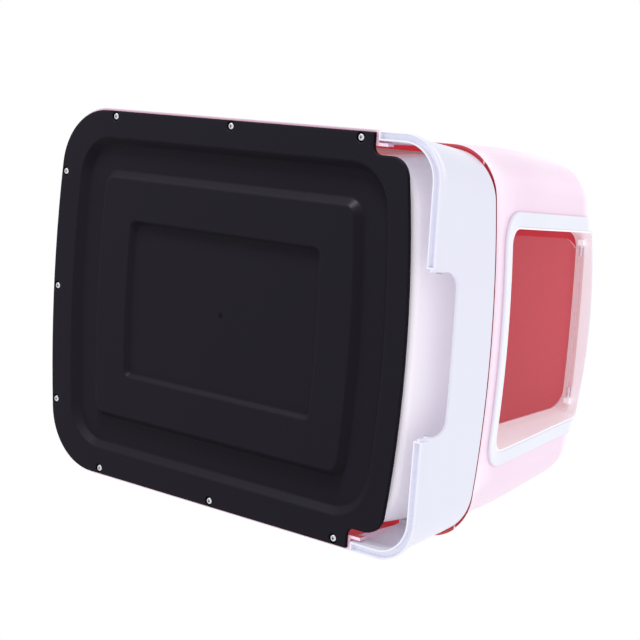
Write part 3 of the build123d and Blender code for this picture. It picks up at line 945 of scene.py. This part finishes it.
@dataclass
class Studio:
    """Camera, lamps, floor and surroundings.

    Attributes:
        camera_mm: where the photograph was taken from.
        aim_mm: point in the middle of the picture.
        roll_deg: turn of the camera about its line of sight, since the box lies on its side in
            the picture.
        lens_mm: focal length.
        sensor_mm: width of the camera's sensor.
        near_mm: distance from which the camera sees.
        floor_mm: height of the floor, just under the box.
        floor_half_mm: half the floor's side.
        fade_mm: distances between which the floor fades into the white round it.
        paper: sRGB hex colour of the floor.
        paper_glow: brightness of the light that the floor gives off.
        surroundings: sRGB hex colour of the light from all round.
        level: brightness of the light from all round.
        lamps: the soft boxes.
    """

    camera_mm: tuple[float, float, float] = (-213.6, -1021.7, -1081.1)
    aim_mm: tuple[float, float, float] = (-18.0, -133.5, -16.7)
    roll_deg: float = 84.36
    lens_mm: float = 87.25
    sensor_mm: float = 36.0
    near_mm: float = 10.0
    floor_mm: float = -0.6
    floor_half_mm: float = 4000.0
    fade_mm: tuple[float, float] = (700.0, 1800.0)
    paper: str = "#FAFAFC"
    paper_glow: float = 0.07
    surroundings: str = "#FAFAFF"
    level: float = 0.95
    lamps: tuple[SoftBox, ...] = (
        SoftBox(
            "key", place_mm=(-1500, 900, -1000), aim_mm=(0, 0, 100), size_mm=300, watts=8.0
        ),
        SoftBox(
            "fill", place_mm=(900, -1200, -1700), aim_mm=(0, -60, 150), size_mm=1800, watts=6.0
        ),
        SoftBox(
            "overhead", place_mm=(0, 200, 2600), aim_mm=(0, 0, 150), size_mm=1800, watts=7.0
        ),
        SoftBox(
            "rear", place_mm=(600, 2300, 1100), aim_mm=(0, 0, 150), size_mm=1600, watts=5.0
        ),
        SoftBox(
            "plate",
            place_mm=(-2000, 0, -600),
            aim_mm=(0, 0, 0),
            size_mm=500,
            watts=80.0,
            lights_only="base_plate",
        ),
    )

    def build(self, frame: dict[str, Any]) -> None:
        """Makes everything round the object.
        """
        self._camera()
        self._world()
        self._floor()
        for lamp in self.lamps:
            lamp.build(frame)

    def _camera(self) -> None:
        """Sets the camera where the photograph was taken."""
        data = bpy.data.cameras.new("photo_camera")
        data.lens = self.lens_mm
        data.sensor_width = self.sensor_mm
        data.clip_start = self.near_mm * MM
        camera = bpy.data.objects.new("photo_camera", data)
        bpy.context.scene.collection.objects.link(camera)
        place = Vector(self.camera_mm) * MM
        sight = Vector(self.aim_mm) * MM - place
        upright = sight.to_track_quat("-Z", "Y")
        camera.rotation_mode = "QUATERNION"
        camera.rotation_quaternion = upright @ Quaternion((0, 0, 1), math.radians(self.roll_deg))
        camera.location = place
        bpy.context.scene.camera = camera

    def _world(self) -> None:
        """White for what the camera sees, directly or in gloss, and an even light on the object."""
        world = bpy.data.worlds.new("studio")
        world.use_nodes = True
        tree = world.node_tree
        tree.nodes.clear()
        path = add_node(tree, "ShaderNodeLightPath", {})
        clear = add_node(
            tree,
            "ShaderNodeMath",
            {0: path.outputs["Is Camera Ray"], 1: path.outputs["Is Transmission Ray"]},
            operation="MAXIMUM",
        )
        seen = add_node(
            tree,
            "ShaderNodeMath",
            {0: clear.outputs[0], 1: path.outputs["Is Glossy Ray"]},
            operation="MAXIMUM",
        )
        bright = add_node(
            tree, "ShaderNodeBackground", {"Color": linear("#FFFFFF"), "Strength": 1.0}
        )
        plain = add_node(
            tree,
            "ShaderNodeBackground",
            {"Color": linear(self.surroundings), "Strength": self.level},
        )
        mix = add_node(
            tree,
            "ShaderNodeMixShader",
            {0: seen.outputs[0], 1: plain.outputs[0], 2: bright.outputs[0]},
        )
        add_node(tree, "ShaderNodeOutputWorld", {"Surface": mix.outputs[0]})
        bpy.context.scene.world = world

    def _floor(self) -> None:
        """Lays the floor, which neither blocks nor adds light on the box and shows in no gloss."""
        shape = bmesh.new()
        bmesh.ops.create_grid(shape, x_segments=1, y_segments=1, size=self.floor_half_mm * MM)
        bmesh.ops.translate(shape, verts=shape.verts, vec=(0, 0, self.floor_mm * MM))
        mesh = bpy.data.meshes.new("floor")
        shape.to_mesh(mesh)
        shape.free()
        mesh.materials.append(self._floor_paper())
        floor = bpy.data.objects.new("floor", mesh)
        bpy.context.scene.collection.objects.link(floor)
        floor.visible_shadow = False
        floor.visible_diffuse = False
        floor.visible_glossy = False

    def _floor_paper(self) -> bpy.types.Material:
        """Makes pale paper that is clear from below, where the photograph was taken, and far off.

        Returns:
            The floor's material.
        """
        material = empty_material("pale_paper_floor")
        tree = material.node_tree
        place = add_node(tree, "ShaderNodeTexCoord", {}).outputs["Object"]
        away = add_node(tree, "ShaderNodeVectorMath", {0: place}, operation="LENGTH")
        near, far = self.fade_mm
        fade = add_node(
            tree,
            "ShaderNodeMapRange",
            {"Value": away.outputs["Value"], "From Min": near * MM, "From Max": far * MM},
            interpolation_type="SMOOTHSTEP",
        )
        below = add_node(tree, "ShaderNodeNewGeometry", {}).outputs["Backfacing"]
        gone = add_node(
            tree, "ShaderNodeMath", {0: below, 1: fade.outputs["Result"]}, operation="MAXIMUM"
        )
        paper = add_node(
            tree,
            "ShaderNodeBsdfPrincipled",
            {
                "Base Color": linear(self.paper),
                "Roughness": 0.9,
                "Emission Color": linear("#FFFFFF"),
                "Emission Strength": self.paper_glow,
            },
        )
        clear = add_node(tree, "ShaderNodeBsdfTransparent", {})
        mix = add_node(
            tree,
            "ShaderNodeMixShader",
            {0: gone.outputs[0], 1: paper.outputs[0], 2: clear.outputs[0]},
        )
        add_node(tree, "ShaderNodeOutputMaterial", {"Surface": mix.outputs[0]})
        return material


def main() -> None:
    """Builds and dresses the litter box and its studio."""
    logging.basicConfig(level=logging.INFO, format="%(message)s")
    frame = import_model()
    bpy.context.scene.view_settings.view_transform = "Standard"
    dresser = Dresser(frame)
    base = BasePlate()
    base.build(frame)
    for assembly in (base, Hood(), Entrance(), Flap(), Drawer()):
        assembly.dress(dresser)
    Studio().build(frame)


if __name__ == "__main__":
    main()
